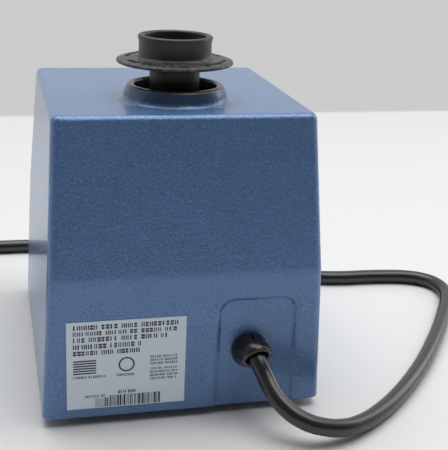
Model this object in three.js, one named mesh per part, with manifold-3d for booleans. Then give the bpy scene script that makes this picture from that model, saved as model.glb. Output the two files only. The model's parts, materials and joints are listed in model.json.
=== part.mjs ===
// Touch-operated vortex mixer: a cast, tapered housing with a motor hung from its top, an eccentric
// crank, a rubber mixing cup, and a mains cord with a moulded plug.
// Millimetres, +Z up. The front faces -Y, the cord leaves the rear (+Y). The feet stand on z = 0.
import * as THREE from "three";
import { mergeVertices } from "three/addons/utils/BufferGeometryUtils.js";
import Module from "manifold-3d";

const wasm = await Module();
wasm.setup();
const { Manifold } = wasm;

// ---- Driving dimensions -------------------------------------------------------------------------
const GAP = 0.3; // clearance between pieces that touch
const RUN = 0.08; // radial clearance of a running fit

// Housing: level sections, from the open bottom to the crease and on to the flat top.
const BASE_Z = 4;
const CREASE_Z = 66;
const TOP_Z = 131.7;
const HALF_WIDTH = 61; // at the base; the sides lean in by SIDE_DRAFT for each mm of height
const SIDE_DRAFT = 0.05;
const REAR_Y = { base: 72.3, crease: 74, top: 63.4 };
const FRONT_Y = { base: -81, crease: -84, top: -47.3 };
const CORNER_RADIUS = 6;
const TOP_ROUND = 2.6;
const WALL = 3.5;

// Drive: everything turns about a vertical axis behind the middle of the housing.
const AXIS_Y = 32;
const CRANK_OFFSET = 2.2; // the crank pin's distance from the axis, towards the front at rest
const HEAD_Y = AXIS_Y - CRANK_OFFSET;

// Collar around the drive hole.
const COLLAR = { hole: 17.6, rim: 21, foot: 25.2, height: 7 };

// Mixing cup.
const CUP = { outer: 15.5, inner: 13.1, rimZ: 158.8, floorZ: 149.6, neck: 10.7 };
const CUP_FLANGE = { radius: 24.9, z: 148.8 };

// Motor.
const STACK = { half: 30, low: 58, high: 88, bore: 15.1 };
const SHAFT_RADIUS = 4;
const SHAFT = { low: 25, high: 114.5 };
const BOLT_RADIUS = 2;
const BOLT_SPREAD = 24;

// Base, feet and screws.
const PLATE = { low: 4.3, high: 5.8 };
const FOOT_RADIUS = 8;
const FOOT_X = 44;
const FOOT_Y = [-62, 54];
const POST_X = 52;
const POST_Y = [-70, 62];
const POST_RADIUS = 6.5;

// Touch switch, beside the thrust button under the shaft.
const SWITCH = { near: 15, far: 33, halfDepth: 5, low: 8.3, high: 18 };
const LEVER_PIVOT = { x: 27, z: 21 };

// Strain relief: a hood whose mouth points down and sideways.
const GLAND = { x: -27.3, z: 30.8, flange: 8.2, root: 7.9, mouthRadius: 6.8, bore: 4.6, hole: 5.6 };
const MOUTH_DIRECTION = new THREE.Vector3(-0.15, 0.84, -0.52).normalize();

// Mains cord.
const CORD_RADIUS = 3.85;
const COIL = { x: 138, y: -91, outerTurn: 48.4, innerTurn: 40.6 };

// ---- Materials ------------------------------------------------------------------------------------
function material(color, roughness, metalness = 0) {
  return new THREE.MeshStandardMaterial({ color, roughness, metalness });
}

const PAINT = material(0x40597f, 0.35, 0.1);
const BLACK_RUBBER = material(0x232426, 0.7);
const BLACK_PLASTIC = material(0x151617, 0.3);
const CORD_PVC = material(0x1b1c1e, 0.35);
const STEEL = material(0xb4b6b8, 0.35, 1);
const ZINC = material(0xc8cacc, 0.4, 1);
const LAMINATION = material(0x6f7276, 0.5, 1);
const COPPER = material(0xb8693a, 0.4, 0.9);
const BRONZE = material(0xb08d57, 0.4, 1);
const ALUMINIUM = material(0xb9bcc0, 0.4, 1);
const LABEL = material(0xaab4be, 0.55, 0.2);
const NYLON = material(0xe6e2d4, 0.5);
const BRASS = material(0xc9a24b, 0.3, 1);

// ---- Solids ---------------------------------------------------------------------------------------
const part = new THREE.Group();

// A three.js geometry as a manifold-3d solid.
function solid(geometry) {
  const bare = geometry.index ? geometry.toNonIndexed() : geometry.clone();
  bare.deleteAttribute("normal");
  bare.deleteAttribute("uv");
  const merged = mergeVertices(bare, 1e-4);
  return new Manifold(
    new wasm.Mesh({
      numProp: 3,
      vertProperties: merged.attributes.position.array,
      triVerts: new Uint32Array(merged.index.array),
    }),
  );
}

// Adds a solid to the part as a named mesh.
function addMesh(name, shape, finish) {
  const mesh = shape.getMesh();
  const geometry = new THREE.BufferGeometry();
  geometry.setAttribute("position", new THREE.BufferAttribute(new Float32Array(mesh.vertProperties), 3));
  geometry.setIndex(new THREE.BufferAttribute(new Uint32Array(mesh.triVerts), 1));
  geometry.computeVertexNormals();
  const piece = new THREE.Mesh(geometry, finish);
  piece.name = name;
  part.add(piece);
}

function block(x0, x1, y0, y1, z0, z1) {
  return Manifold.cube([x1 - x0, y1 - y0, z1 - z0]).translate([x0, y0, z0]);
}

function disc(x, y, z0, z1, radius, segments = 12, topRadius = radius) {
  return Manifold.cylinder(z1 - z0, radius, topRadius, segments).translate([x, y, z0]);
}

// A ring or a turned piece about the vertical through (x, y), from [radius, z] points of its profile.
function turned(profile, x, y, segments = 24) {
  const points = profile.map(([r, z]) => new THREE.Vector2(r, z));
  if (THREE.ShapeUtils.area(points) < 0) {
    points.reverse();
  }
  if (points[0].x > 0) {
    points.push(points[0].clone());
  }
  const shape = solid(new THREE.LatheGeometry(points, segments));
  return shape.rotate([90, 0, 0]).translate([x, y, 0]);
}

// A flat plate cut to a THREE.Shape, standing between two heights.
function plate(shape, z0, z1, curveSegments = 8) {
  const geometry = new THREE.ExtrudeGeometry(shape, { depth: z1 - z0, bevelEnabled: false, curveSegments });
  return solid(geometry).translate([0, 0, z0]);
}

// A closed loop of points where a disc of the given radius, centre and axis meets its rim.
function rimPoints(centre, axis, radius, count = 32) {
  const up = new THREE.Vector3(0, 1, 0);
  const across = up.clone().addScaledVector(axis, -axis.y);
  const first = Math.abs(axis.y) > 0.999 ? new THREE.Vector3(0, 0, 1) : across;
  first.normalize();
  const second = axis.clone().cross(first);
  return Array.from({ length: count }, (_, i) => {
    const angle = (i / count) * 2 * Math.PI;
    const point = centre.clone().addScaledVector(first, radius * Math.cos(angle));
    return point.addScaledVector(second, radius * Math.sin(angle)).toArray();
  });
}

// A round bar between two points.
function bar(from, to, radius, count = 24) {
  const axis = to.clone().sub(from).normalize();
  return Manifold.hull([...rimPoints(from, axis, radius, count), ...rimPoints(to, axis, radius, count)]);
}

// A tube or wire along a curve.
function swept(points, radius, sides, steps) {
  const curve = new THREE.CatmullRomCurve3(points.map((p) => new THREE.Vector3(...p)), false, "centripetal");
  const section = new THREE.Shape().absarc(0, 0, radius, 0, 2 * Math.PI);
  const settings = { steps, extrudePath: curve, curveSegments: sides / 2 };
  const geometry = new THREE.ExtrudeGeometry(section, settings);
  return solid(geometry);
}

function corners(action) {
  let index = 0;
  for (const side of [-1, 1]) {
    for (const end of [0, 1]) {
      index += 1;
      action(index, side, end);
    }
  }
}

// ---- Housing --------------------------------------------------------------------------------------
function between(z, ends) {
  if (z <= CREASE_Z) {
    return THREE.MathUtils.mapLinear(z, BASE_Z, CREASE_Z, ends.base, ends.crease);
  }
  return THREE.MathUtils.mapLinear(z, CREASE_Z, TOP_Z, ends.crease, ends.top);
}

// One level section of the housing as points: a rectangle with round corners, moved in by inset.
function sectionPoints(z, inset) {
  const halfWidth = HALF_WIDTH - SIDE_DRAFT * (z - BASE_Z) - inset;
  const rear = between(z, REAR_Y) - inset;
  const front = between(z, FRONT_Y) + inset;
  const radius = Math.max(CORNER_RADIUS - inset, 1.5);
  const points = [];
  const centres = [
    [halfWidth - radius, rear - radius, 0],
    [-halfWidth + radius, rear - radius, 90],
    [-halfWidth + radius, front + radius, 180],
    [halfWidth - radius, front + radius, 270],
  ];
  for (const [x, y, start] of centres) {
    for (let step = 0; step <= 4; step += 1) {
      const angle = THREE.MathUtils.degToRad(start + step * 22.5);
      points.push([x + radius * Math.cos(angle), y + radius * Math.sin(angle), z]);
    }
  }
  return points;
}

function housingBody() {
  const outer = [...sectionPoints(BASE_Z, 0), ...sectionPoints(CREASE_Z, 0)];
  for (let step = 0; step <= 3; step += 1) {
    const angle = (step / 3) * (Math.PI / 2);
    const inset = TOP_ROUND * (1 - Math.cos(angle));
    const height = TOP_Z - TOP_ROUND + TOP_ROUND * Math.sin(angle);
    outer.push(...sectionPoints(height, inset));
  }
  return Manifold.hull(outer);
}

function housingHollow() {
  const levels = [BASE_Z, CREASE_Z, TOP_Z - WALL];
  const points = levels.flatMap((z) => sectionPoints(z, WALL));
  const below = sectionPoints(BASE_Z, WALL).map(([x, y]) => [x, y, BASE_Z - 1]);
  return Manifold.hull([...points, ...below]);
}

const COLLAR_LOW = TOP_Z - WALL - 0.6;
function collar() {
  const { hole, rim, foot, height } = COLLAR;
  const lip = TOP_Z + height;
  const profile = [[hole, COLLAR_LOW], [hole, lip - 0.9], [hole + 0.4, lip - 0.25], [hole + 1.1, lip]];
  profile.push([rim - 1.5, lip], [rim - 0.5, lip - 0.5], [rim + 0.2, lip - 1.8]);
  const fillet = 3;
  const wallFoot = foot - fillet;
  for (let step = 0; step <= 3; step += 1) {
    const angle = (step / 3) * (Math.PI / 2);
    profile.push([wallFoot + fillet * (1 - Math.cos(angle)), TOP_Z + fillet * (1 - Math.sin(angle))]);
  }
  profile.push([foot, COLLAR_LOW]);
  return turned(profile, 0, AXIS_Y);
}

// The rear wall's lower part leans out a little: this leans an upright piece with it.
const REAR_LEAN = (REAR_Y.crease - REAR_Y.base) / (CREASE_Z - BASE_Z);
function leanWithRear(shape) {
  return shape.warp((vertex) => {
    vertex[1] += REAR_LEAN * (vertex[2] - BASE_Z);
  });
}

// The shallow panel that the cord leaves from: an arch, open at the bottom edge.
const PANEL = { left: -46.5, right: -14, top: 54.5, depth: 1.1, cornerRadius: 6 };
function cordPanelCutter() {
  const { left, right, top, cornerRadius } = PANEL;
  const outline = new THREE.Shape();
  outline.moveTo(left - 0.8, BASE_Z - 2);
  outline.lineTo(right + 0.8, BASE_Z - 2);
  outline.lineTo(right, top - cornerRadius);
  outline.absarc(right - cornerRadius, top - cornerRadius, cornerRadius, 0, Math.PI / 2);
  outline.absarc(left + cornerRadius, top - cornerRadius, cornerRadius, Math.PI / 2, Math.PI);
  const upright = plate(outline, 0, 6).rotate([90, 0, 0]).translate([0, REAR_Y.base - PANEL.depth + 6, 0]);
  return leanWithRear(upright);
}

// The motor hangs from four posts under the deck, on the feet of its upper end bell.
const SCREW_Y = [14, 50];
const SCREW_X = 36;
const BELL_FOOT_TOP = 101.3;
const SCREW_BORE = 2.2;

function alongY(x, z, from, to, radius, count = 20) {
  return bar(new THREE.Vector3(x, from, z), new THREE.Vector3(x, to, z), radius, count);
}

function housing() {
  let shell = housingBody().subtract(housingHollow());
  corners((_, side, end) => {
    shell = shell.add(disc(side * POST_X, POST_Y[end], PLATE.high + GAP, 34, POST_RADIUS, 12, 5));
    shell = shell.add(disc(side * SCREW_X, SCREW_Y[end], BELL_FOOT_TOP + GAP, TOP_Z - 1, 4.5));
  });
  const deckHole = disc(0, AXIS_Y, COLLAR_LOW - 1, TOP_Z + 1, COLLAR.rim, 24);
  shell = shell.intersect(housingBody()).subtract(deckHole).add(collar());
  corners((_, side, end) => {
    shell = shell.subtract(disc(side * POST_X, POST_Y[end], 0, 22, SCREW_BORE, 8));
    shell = shell.subtract(disc(side * SCREW_X, SCREW_Y[end], 90, 118, SCREW_BORE, 8));
  });
  shell = shell.subtract(cordPanelCutter());
  return shell.subtract(alongY(GLAND.x, GLAND.z, 40, 90, GLAND.hole));
}

// ---- Base -----------------------------------------------------------------------------------------
function basePlate() {
  const inset = WALL + 0.4;
  const points = sectionPoints(BASE_Z, inset).map(([x, y]) => new THREE.Vector2(x, y));
  let sheet = plate(new THREE.Shape(points), PLATE.low, PLATE.high);
  corners((_, side, end) => {
    sheet = sheet.subtract(disc(side * POST_X, POST_Y[end], 0, 10, SCREW_BORE, 8));
    sheet = sheet.subtract(disc(side * FOOT_X, FOOT_Y[end], 0, 10, 2.8, 12));
  });
  return sheet;
}

function foot(x, y) {
  const radius = FOOT_RADIUS;
  const top = PLATE.low - GAP;
  const profile = [[0, 0], [radius - 1, 0], [radius, 0.8], [radius - 0.8, top], [2.5, top]];
  profile.push([2.5, PLATE.high + GAP], [3.6, PLATE.high + GAP], [2.2, PLATE.high + 3], [0, PLATE.high + 3]);
  return turned(profile, x, y, 16);
}

// A round-headed screw that points up.
function screwUp(x, y, headZ, headHeight, headRadius, tipZ) {
  const profile = [[0, headZ], [headRadius * 0.7, headZ], [headRadius, headZ + headHeight * 0.5]];
  profile.push([headRadius, headZ + headHeight], [1.9, headZ + headHeight]);
  profile.push([1.9, tipZ - 1], [1, tipZ], [0, tipZ]);
  return turned(profile, x, y, 12);
}

// ---- Plates on the outside ------------------------------------------------------------------------
const RATING = { left: 0.9, right: 50.8, low: 8.5, high: 49, thickness: 0.3, offset: 0.1 };
function ratingLabel() {
  const face = REAR_Y.base + RATING.offset;
  const { left, right, low, high, thickness } = RATING;
  return leanWithRear(block(left, right, face, face + thickness, low, high));
}

// A blank plate on the sloping front.
const FRONT_PLATE = { halfWidth: 42, low: 76, high: 120, thickness: 0.5, offset: 0.1, cornerRadius: 3 };
function frontPlate() {
  const slope = (FRONT_Y.top - FRONT_Y.crease) / (TOP_Z - CREASE_Z);
  const { halfWidth, low, high, thickness, offset, cornerRadius } = FRONT_PLATE;
  const outline = new THREE.Shape();
  const centres = [
    [-1, low + cornerRadius, 180],
    [1, low + cornerRadius, 270],
    [1, high - cornerRadius, 0],
    [-1, high - cornerRadius, 90],
  ];
  for (const [side, z, start] of centres) {
    const from = THREE.MathUtils.degToRad(start);
    outline.absarc(side * (halfWidth - cornerRadius), z, cornerRadius, from, from + Math.PI / 2);
  }
  const upright = plate(outline, 0, thickness, 5)
    .rotate([90, 0, 0])
    .translate([0, FRONT_Y.crease - offset, 0]);
  return upright.warp((vertex) => {
    vertex[1] += slope * (vertex[2] - CREASE_Z);
  });
}

// ---- Motor ----------------------------------------------------------------------------------------
function roundedSquare(half, radius) {
  const square = new THREE.Shape();
  square.absarc(half - radius, half - radius, radius, 0, Math.PI / 2);
  square.absarc(-half + radius, half - radius, radius, Math.PI / 2, Math.PI);
  square.absarc(-half + radius, -half + radius, radius, Math.PI, 1.5 * Math.PI);
  square.absarc(half - radius, -half + radius, radius, 1.5 * Math.PI, 2 * Math.PI);
  return square;
}

function boltHoles(shape, radius) {
  let cut = shape;
  for (const x of [-BOLT_SPREAD, BOLT_SPREAD]) {
    for (const y of [-BOLT_SPREAD, BOLT_SPREAD]) {
      cut = cut.subtract(disc(x, AXIS_Y + y, 0, TOP_Z, radius, 12));
    }
  }
  return cut;
}

function statorStack() {
  const stack = plate(roundedSquare(STACK.half, 7), STACK.low, STACK.high, 5).translate([0, AXIS_Y, 0]);
  let bored = stack.subtract(disc(0, AXIS_Y, 0, TOP_Z, STACK.bore, 32));
  for (let slot = 0; slot < 4; slot += 1) {
    const cut = block(STACK.bore - 1, 21, -2.2, 2.2, 0, TOP_Z).rotate([0, 0, slot * 90]);
    bored = bored.subtract(cut.translate([0, AXIS_Y, 0]));
  }
  return boltHoles(bored, BOLT_RADIUS + GAP);
}

function winding(low, high) {
  const profile = [[16.4, low], [24, low], [26, low + 2], [26, high - 2], [24, high], [16.4, high]];
  return turned(profile, 0, AXIS_Y);
}

// An end bell: a plate with a bushing hub and four legs that reach the stack.
function endBell(plateLow, plateHigh, hubLow, hubHigh, legLow, legHigh, half) {
  let bell = plate(roundedSquare(half, 7), plateLow, plateHigh, 5).translate([0, AXIS_Y, 0]);
  bell = bell.add(disc(0, AXIS_Y, hubLow, hubHigh, 10, 24));
  for (const x of [-BOLT_SPREAD, BOLT_SPREAD]) {
    for (const y of [-BOLT_SPREAD, BOLT_SPREAD]) {
      bell = bell.add(disc(x, AXIS_Y + y, legLow, legHigh, 4.6));
    }
  }
  bell = bell.subtract(disc(0, AXIS_Y, 0, TOP_Z, 7, 24));
  return boltHoles(bell, BOLT_RADIUS + GAP);
}

function upperBell() {
  let bell = endBell(98, 101, 92, 103, STACK.high + GAP, 99, 29);
  for (const side of [-1, 1]) {
    for (const y of SCREW_Y) {
      const ear = block(side * 33 - 7, side * 33 + 7, y - 5, y + 5, 98, 101);
      bell = bell.add(ear).subtract(disc(side * SCREW_X, y, 0, TOP_Z, 2.2, 8));
    }
  }
  return bell;
}

function lowerBell() {
  return endBell(44, 47, 40, 51, 46, STACK.low - GAP, 29);
}

function bushing(low, high) {
  const inner = SHAFT_RADIUS + RUN + 0.02;
  const outer = 6.9;
  return turned([[inner, low], [outer, low], [outer, high], [inner, high]], 0, AXIS_Y);
}

function motorBolt(x, y) {
  const headLow = 101 + GAP;
  const headTop = headLow + 2.4;
  const profile = [[0, 41], [1.2, 41], [BOLT_RADIUS, 42]];
  profile.push([BOLT_RADIUS, headLow], [4, headLow], [4, headTop]);
  profile.push([3.2, headLow + 2.9], [0, headLow + 2.9]);
  return turned(profile, x, y, 12);
}

function motorShaft() {
  const { low, high } = SHAFT;
  const r = SHAFT_RADIUS;
  return turned([[0, low], [2, low], [r, low + 1.4], [r, high - 0.5], [r - 0.5, high], [0, high]], 0, AXIS_Y);
}

function rotorCore() {
  const inner = SHAFT_RADIUS + 0.05;
  const outer = STACK.bore - 0.5;
  const { low, high } = STACK;
  const profile = [[inner, low], [outer, low], [outer, high], [inner, high]];
  const ringLow = low - 2.4;
  const ringHigh = high + 2.4;
  const ringOuter = outer - 0.4;
  const ringProfile = [[10, ringLow], [ringOuter, ringLow], [ringOuter, ringHigh], [10, ringHigh]];
  return turned(profile, 0, AXIS_Y).add(turned(ringProfile, 0, AXIS_Y));
}

function coolingFan() {
  const inner = SHAFT_RADIUS + 0.05;
  const profile = [[inner, 30.6], [8, 30.6], [8, 31.6], [24, 31.6]];
  profile.push([24, 33], [8, 33], [8, 38], [inner, 38]);
  let fan = turned(profile, 0, AXIS_Y);
  const blades = 10;
  for (let blade = 0; blade < blades; blade += 1) {
    const vane = block(11, 23, -0.6, 0.6, 32.5, 38).rotate([0, 0, (blade * 360) / blades]);
    fan = fan.add(vane.translate([0, AXIS_Y, 0]));
  }
  return fan;
}

// ---- Drive head -----------------------------------------------------------------------------------
const HUB = { low: 108.4, high: 118, radius: 12, pinTop: 136.5, pinRadius: 3 };
function crankHub() {
  let hub = disc(0, AXIS_Y, HUB.low, HUB.high, HUB.radius, 24);
  const weight = disc(0, AXIS_Y, HUB.low, HUB.high, 21, 36).intersect(
    block(-14, 14, AXIS_Y + 6, AXIS_Y + 30, HUB.low, HUB.high),
  );
  hub = hub.add(weight);
  hub = hub.subtract(disc(0, AXIS_Y, HUB.low - 1, SHAFT.high + GAP, SHAFT_RADIUS + 0.05, 24));
  hub = hub.add(disc(0, HEAD_Y, HUB.high - 1, HUB.pinTop, HUB.pinRadius, 24));
  const screwHole = bar(new THREE.Vector3(4, AXIS_Y, 112), new THREE.Vector3(16, AXIS_Y, 112), 1.8, 12);
  return hub.subtract(screwHole);
}

function setScrew() {
  return bar(new THREE.Vector3(4 + GAP, AXIS_Y, 112), new THREE.Vector3(11.5, AXIS_Y, 112), 1.5, 12);
}

function bearingInner() {
  const inner = HUB.pinRadius + 0.05;
  return turned([[inner, 126.4], [4.6, 126.4], [4.6, 134.4], [inner, 134.4]], 0, HEAD_Y);
}

function bearingCage() {
  return turned([[4.7, 127.4], [5.7, 127.4], [5.7, 133.4], [4.7, 133.4]], 0, HEAD_Y);
}

function bearingOuter() {
  return turned([[5.8, 126.4], [7.4, 126.4], [7.4, 134.4], [5.8, 134.4]], 0, HEAD_Y);
}

function driveHead() {
  const profile = [[0, 138.4], [6, 138.4], [6, 134.7], [7.5, 134.7]];
  profile.push([7.5, 121.6], [8.8, 121.6], [8.8, 124.6]);
  profile.push([10.3, 124.6], [10.3, 126.2], [8.8, 126.2], [8.8, 145], [8, 146], [0, 146]);
  return turned(profile, 0, HEAD_Y, 32);
}

function splashDisc() {
  const profile = [[9, 121.9], [22.6, 121.9], [23, 122.6], [22.6, 123.4], [10.6, 124.3], [9, 124.3]];
  return turned(profile, 0, HEAD_Y, 32);
}

function mixingCup() {
  const { outer, inner, rimZ, floorZ, neck } = CUP;
  const { radius, z } = CUP_FLANGE;
  const bore = 8.8 + RUN;
  const profile = [[0, 146.2], [bore, 146.2], [bore, 126.6], [neck, 126.6], [neck, 144.6]];
  profile.push([neck + 0.7, 146.4], [radius - 0.6, z - 1.7], [radius, z - 1.1], [radius, z - 0.4]);
  profile.push([radius - 0.5, z], [outer + 1.2, z + 1.3], [outer + 0.2, z + 2.1]);
  profile.push([outer, rimZ - 0.9], [outer - 0.5, rimZ - 0.1], [outer - 1, rimZ], [inner + 0.4, rimZ]);
  profile.push([inner, rimZ - 0.5], [inner - 0.3, floorZ + 1], [6, floorZ], [0, floorZ]);
  return turned(profile, 0, HEAD_Y, 40);
}

// ---- Thrust button and touch switch ---------------------------------------------------------------
function thrustGuide() {
  return turned([[0, 6.1], [12, 6.1], [12, 7.6], [6.8, 8.4], [6.8, 18], [5, 18], [5, 8], [0, 8]], 0, AXIS_Y);
}

function thrustButton() {
  const face = SHAFT.low - 0.05;
  const profile = [[0, 15], [4.9, 15], [4.9, 21], [9, 21.9], [9, 23.6], [5, 23.9], [4.4, face], [0, face]];
  return turned(profile, 0, AXIS_Y);
}

function returnSpring() {
  const turns = 4;
  const wire = 0.4;
  const low = 8.3 + wire;
  const rise = 14.7 - wire - low;
  const points = [];
  for (let step = 0; step <= turns * 12; step += 1) {
    const angle = (step / 12) * 2 * Math.PI;
    points.push([3.6 * Math.cos(angle), AXIS_Y + 3.6 * Math.sin(angle), low + (rise * step) / (turns * 12)]);
  }
  return swept(points, wire, 6, turns * 10);
}

function switchBody() {
  const { near, far, halfDepth, low, high } = SWITCH;
  let body = block(near, far, AXIS_Y - halfDepth, AXIS_Y + halfDepth, low, high);
  for (const y of [AXIS_Y - halfDepth, AXIS_Y + halfDepth - 1.5]) {
    body = body.add(block(LEVER_PIVOT.x - 3, LEVER_PIVOT.x + 3, y, y + 1.5, high - 1, LEVER_PIVOT.z + 2.5));
  }
  body = body.subtract(pivotBar(1.1, 12));
  return body.subtract(disc(20.5, AXIS_Y, high - 4, high + 1, 1.6, 16));
}

function pivotBar(radius, halfLength) {
  const { x, z } = LEVER_PIVOT;
  return alongY(x, z, AXIS_Y - halfLength, AXIS_Y + halfLength, radius, 24);
}

function switchLever() {
  const { x, z } = LEVER_PIVOT;
  const barrel = pivotBar(2, 3.2);
  const leaf = block(7.4, x, AXIS_Y - 2.5, AXIS_Y + 2.5, z - 0.5, z + 0.2);
  return barrel.add(leaf).subtract(pivotBar(0.8 + RUN, 8));
}

function switchPlunger() {
  return disc(20.5, AXIS_Y, SWITCH.high - 3, LEVER_PIVOT.z - 0.6, 1.4, 16);
}

function switchBracket() {
  const face = AXIS_Y + SWITCH.halfDepth + GAP;
  const upright = block(SWITCH.near + 2, SWITCH.far - 2, face, face + 1.5, PLATE.high + GAP, SWITCH.high - 2);
  const low = PLATE.high + GAP;
  return upright.add(block(SWITCH.near + 2, SWITCH.far - 2, face, face + 10, low, low + 1.5));
}

// ---- Wiring ---------------------------------------------------------------------------------------
const TERMINAL = { x0: -46, x1: -22, y0: -8, y1: 4, low: 6.1, high: 17 };
function terminalBlock() {
  const { x0, x1, y0, y1, low, high } = TERMINAL;
  let body = block(x0, x1, y0, y1, low, high);
  for (let pole = 0; pole < 3; pole += 1) {
    const x = x0 + 4 + pole * 8;
    body = body.subtract(disc(x, (y0 + y1) / 2, high - 4, high + 1, 2.4, 16));
  }
  return body;
}

const LINE_LEAD = [
  [-27.3, 59.5, 31.5],
  [-28, 50, 27],
  [-34, 30, 22],
  [-38, 12, 21],
  [-38, 1, 19.4],
];
const NEUTRAL_LEAD = [
  [-25.2, 59.5, 29],
  [-24, 50, 24],
  [-27, 30, 19],
  [-30, 12, 20.5],
  [-30, 1, 19.4],
];
function lead(points) {
  return swept(points, 1, 6, 12);
}

// ---- Strain relief --------------------------------------------------------------------------------
const MOUTH_REACH = GLAND.mouthRadius * Math.sqrt(1 - MOUTH_DIRECTION.y ** 2);
const REAR_REACH = -FRONT_Y.crease; // the hood reaches as far back as the front reaches forward
const MOUTH = new THREE.Vector3(-28.8, REAR_REACH - MOUTH_REACH, 29.8);

function strainRelief() {
  const { x, z, flange, root, mouthRadius, bore, hole } = GLAND;
  const panelFace = REAR_Y.base - PANEL.depth + REAR_LEAN * (z - BASE_Z);
  const seat = panelFace + 0.6;
  const rootRing = rimPoints(new THREE.Vector3(x, seat + 1, z), new THREE.Vector3(0, 1, 0), root, 24);
  const hood = Manifold.hull([...rootRing, ...rimPoints(MOUTH, MOUTH_DIRECTION, mouthRadius, 24)]);
  const inside = MOUTH.clone().addScaledVector(MOUTH_DIRECTION, -9);
  const outside = MOUTH.clone().addScaledVector(MOUTH_DIRECTION, 4);
  const solidRelief = alongY(x, z, seat, seat + 2, flange, 24)
    .add(hood)
    .add(alongY(x, z, 60, seat + 1, hole - GAP));
  return solidRelief.subtract(bar(inside, outside, bore, 20));
}

// The moulded clip that is pressed over the strain relief inside the housing and locks it.
function strainReliefClip() {
  const { x, z, hole } = GLAND;
  return alongY(x, z, 64.4, 67.8, 8.2).subtract(alongY(x, z, 60, 70, hole));
}

// ---- Cord, coil and plug --------------------------------------------------------------------------
const ON_TABLE = CORD_RADIUS + 0.05;
const ROUTE = [
  [-31, 85, 24.8],
  [-33.5, 91.6, 19.3],
  [-37.9, 97.8, 14.7],
  [-44.4, 102.1, 11.1],
  [-52.6, 103.7, 8.5],
  [-61.6, 102.4, 6.5],
  [-71.6, 97.4, 4.9],
  [-84, 88.4, 4.1],
  [-97, 76.6, ON_TABLE],
  [-110.9, 61.8, ON_TABLE],
  [-124.6, 45.2, ON_TABLE],
  [-137.6, 27.5, ON_TABLE],
  [-149.6, 10, ON_TABLE],
  [-160, -6.5, ON_TABLE],
  [-168.4, -21, ON_TABLE],
  [-173.4, -33.5, ON_TABLE],
  [-173.6, -44.2, ON_TABLE],
  [-168.6, -52.8, ON_TABLE],
  [-159.6, -58, ON_TABLE],
  [-148, -60.4, ON_TABLE],
  [-134, -61.5, ON_TABLE],
  [-121, -62, ON_TABLE],
  [-107, -64.4, ON_TABLE],
  [-92, -71, ON_TABLE],
  [-77.5, -81.8, ON_TABLE],
  [-63, -94.5, ON_TABLE],
  [-47, -107, ON_TABLE],
  [-28, -118.5, ON_TABLE],
  [-6, -128, ON_TABLE],
  [17, -134.5, ON_TABLE],
  [40, -138, ON_TABLE],
  [65, -139.2, ON_TABLE],
  [90, -139.4, ON_TABLE],
];

// The tube stops where it comes within a gap of the coil's wall, before it joins the outer turn.
const COIL_WALL = COIL.outerTurn + CORD_RADIUS;
function tangentReach(sideRadius) {
  return Math.sqrt((COIL_WALL + GAP) ** 2 - (COIL.outerTurn - sideRadius) ** 2);
}

function cordTube() {
  const start = MOUTH.clone().addScaledVector(MOUTH_DIRECTION, GAP);
  const end = [COIL.x - tangentReach(CORD_RADIUS), COIL.y - COIL.outerTurn, ON_TABLE];
  return swept([start.toArray(), ...ROUTE, end], CORD_RADIUS, 8, 66);
}

function cordCoil() {
  const inside = COIL.innerTurn - CORD_RADIUS;
  const top = 4 * CORD_RADIUS;
  const edge = 1.6;
  const profile = [[inside, edge], [inside + edge, 0.05], [COIL_WALL - edge, 0.05], [COIL_WALL, edge]];
  profile.push([COIL_WALL, top - edge], [COIL_WALL - edge, top], [inside + edge, top], [inside, top - edge]);
  return turned(profile, COIL.x, COIL.y, 32);
}

// The plug lies beside the coil, in line with the last turn, its pins pointing away (+Y).
const PLUG = { x: COIL.x + COIL.outerTurn, z: 3 * CORD_RADIUS, halfWidth: 12.5 };
PLUG.bodyLength = 34;
PLUG.reliefLength = 16;
PLUG.start = COIL.y + tangentReach(5);
PLUG.bodyStart = PLUG.start + PLUG.reliefLength;
PLUG.face = PLUG.bodyStart + PLUG.bodyLength;
const BLADE = { spread: 6.35, halfThickness: 0.76, drop: 6.2, sunk: 5.5, reach: 17 };
const PIN = { rise: 8.4, radius: 2.38, sunk: 5.5, shank: 18, reach: 20, tipRadius: 1 };

function plugOutline(halfWidth, halfHeight, y) {
  const chamfer = Math.min(halfWidth, halfHeight) * 0.45;
  const quarter = [
    [halfWidth, halfHeight - chamfer],
    [halfWidth - chamfer * 0.35, halfHeight - chamfer * 0.35],
    [halfWidth - chamfer, halfHeight],
  ];
  return quarter.flatMap(([x, z]) => [[x, y, z], [-x, y, z], [x, y, -z], [-x, y, -z]]);
}

function plugBody() {
  const { x, z, halfWidth, start, bodyStart, face } = PLUG;
  const halfHeight = z - 0.05;
  const grip = Manifold.hull([
    ...plugOutline(7, 7, bodyStart - 1),
    ...plugOutline(halfWidth, halfHeight, bodyStart + 12),
    ...plugOutline(halfWidth, halfHeight, face),
  ]);
  let body = grip.translate([x, 0, z]).add(alongY(x, z, start, bodyStart + 2, 5, 24));
  for (const side of [-1, 1]) {
    const middle = x + side * BLADE.spread;
    body = body.subtract(block(middle - 1.1, middle + 1.1, face - 6, face + 1, z - 6.6, z + 0.4));
  }
  return body.subtract(alongY(x, z + PIN.rise, face - 6, face + 1, PIN.radius + GAP));
}

function plugBlade(side) {
  const { face, z } = PLUG;
  const { spread, halfThickness, drop, sunk, reach } = BLADE;
  const x = PLUG.x + side * spread;
  return block(x - halfThickness, x + halfThickness, face - sunk, face + reach, z - drop, z);
}

function plugPin() {
  const { radius, sunk, shank, reach, tipRadius } = PIN;
  const z = PLUG.z + PIN.rise;
  const along = new THREE.Vector3(0, 1, 0);
  const tip = Manifold.hull([
    ...rimPoints(new THREE.Vector3(PLUG.x, PLUG.face + shank - 1, z), along, radius, 20),
    ...rimPoints(new THREE.Vector3(PLUG.x, PLUG.face + reach, z), along, tipRadius, 20),
  ]);
  return alongY(PLUG.x, z, PLUG.face - sunk, PLUG.face + shank, radius).add(tip);
}

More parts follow.
